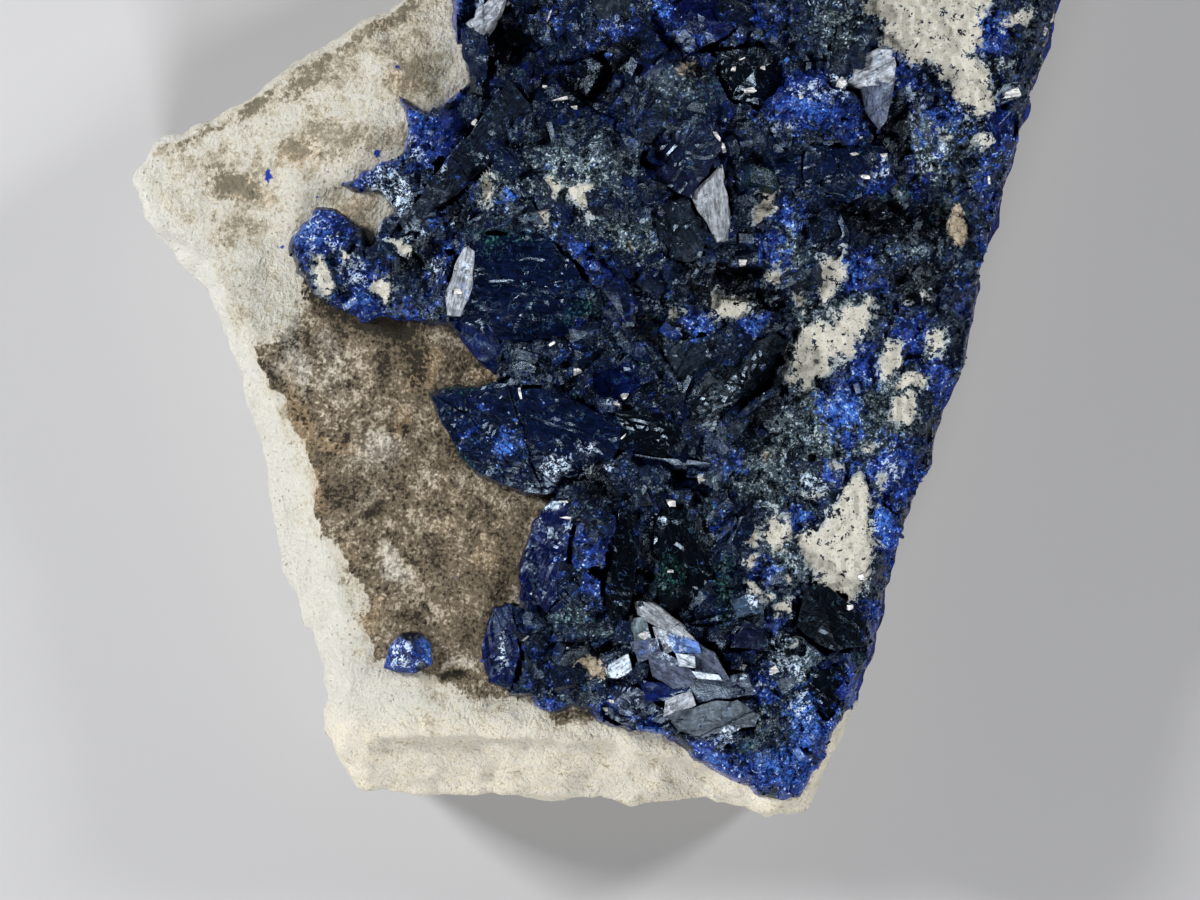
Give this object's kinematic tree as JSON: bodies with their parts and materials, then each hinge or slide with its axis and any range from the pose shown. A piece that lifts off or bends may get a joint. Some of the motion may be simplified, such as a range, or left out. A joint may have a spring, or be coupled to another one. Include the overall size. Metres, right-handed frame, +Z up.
{
  "type": "azurite specimen",
  "caption": "Broken plate of pale sandy rock whose face carries an intergrown mass of deep blue bladed azurite crystals; lies on its flat back.",
  "frame": {"origin": "under the middle of the plate, in the plane that its back rests on", "axes": "+Z up out of the crystal-covered face, +Y towards the plate's broad end, along its length, +X towards its long straight side"},
  "size_m": [0.0938, 0.099, 0.0284],
  "materials": {
    "matrix": "rough, chalky and sandy rock, cream with a brown-grey iron-stained patch",
    "azurite": "glassy, near-black navy crystal faces with bright ultramarine drusy patches",
    "azurite_nodule": "glassy fine azurite crystals, bright blue"
  },
  "bodies": {
    "root": {"matrix": "matrix", "azurite": "azurite", "azurite_nodule": "azurite_nodule"}
  },
  "joints": []
}
